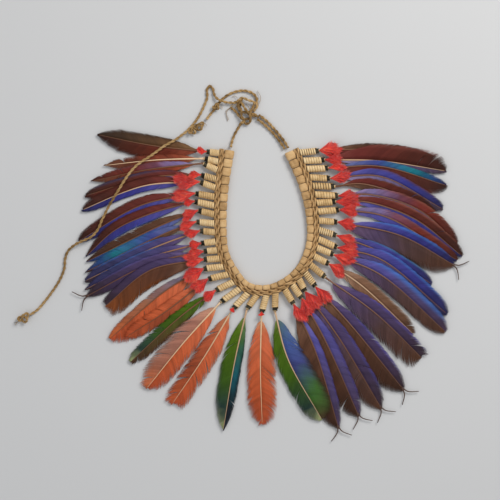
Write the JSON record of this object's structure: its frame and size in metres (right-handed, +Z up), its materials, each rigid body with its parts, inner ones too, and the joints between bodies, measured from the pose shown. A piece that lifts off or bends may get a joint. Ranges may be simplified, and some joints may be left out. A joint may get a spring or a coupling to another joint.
{
  "type": "feathered headdress",
  "caption": "Feathered headdress laid flat: a U-shaped wrapped fibre band with long feathers in bound sleeves, red down tufts, and a knotted tie cord.",
  "frame": {"origin": "on the surface that it lies on, under the middle of the headdress without its cords", "axes": "+X from the left arm of the band to the right arm, +Y from its foot to its open ends, +Z up, face up"},
  "size_m": [0.4995, 0.3888, 0.0095],
  "materials": {
    "straw": "satin",
    "core_fibre": "matt",
    "cord_fibre": "matt",
    "red_down": "matt",
    "feather_olive": "satin",
    "feather_rust": "satin",
    "feather_maroon": "satin",
    "feather_blue": "satin",
    "feather_purple": "satin",
    "feather_brown": "satin",
    "feather_orange": "satin",
    "feather_green": "satin",
    "feather_tan": "satin"
  },
  "bodies": {
    "root": {"base_band": "core_fibre", "sleeve_row_1": "straw", "sleeve_row_2": "straw", "sleeve_row_3": "straw", "sleeve_row_4": "straw", "sleeve_row_5": "straw", "feather_01": "feather_olive", "feather_02": "feather_rust", "feather_03": "feather_rust", "feather_04": "feather_maroon", "feather_05": "feather_maroon", "feather_06": "feather_maroon", "feather_07": "feather_blue", "feather_08": "feather_brown", "feather_09": "feather_blue", "feather_10": "feather_purple", "feather_11": "feather_purple", "feather_12": "feather_purple", "feather_13": "feather_brown", "feather_14": "feather_orange", "feather_15": "feather_orange", "feather_16": "feather_green", "feather_17": "feather_orange", "feather_18": "feather_orange", "feather_19": "feather_green", "feather_20": "feather_orange", "feather_21": "feather_green", "feather_22": "feather_brown", "feather_23": "feather_brown", "feather_24": "feather_purple", "feather_25": "feather_brown", "feather_26": "feather_purple", "feather_27": "feather_tan", "feather_28": "feather_blue", "feather_29": "feather_blue", "feather_30": "feather_blue", "feather_31": "feather_blue", "feather_32": "feather_maroon", "feather_33": "feather_maroon", "feather_34": "feather_rust", "feather_35": "feather_brown", "feather_36": "feather_blue", "feather_37": "feather_maroon", "feather_38": "feather_maroon", "feather_39": "feather_brown", "tuft_row_1": "red_down", "tuft_row_2": "red_down", "tuft_row_3": "red_down", "tuft_row_4": "red_down", "tuft_row_5": "red_down", "tuft_row_6": "red_down", "left_tie": "cord_fibre", "right_tie_1": "cord_fibre", "right_tie_2": "cord_fibre", "loop_cord": "cord_fibre", "tail_cord": "cord_fibre", "main_knot": "cord_fibre", "stop_knot": "cord_fibre", "slide_knot": "cord_fibre", "end_knot": "cord_fibre"}
  },
  "joints": []
}
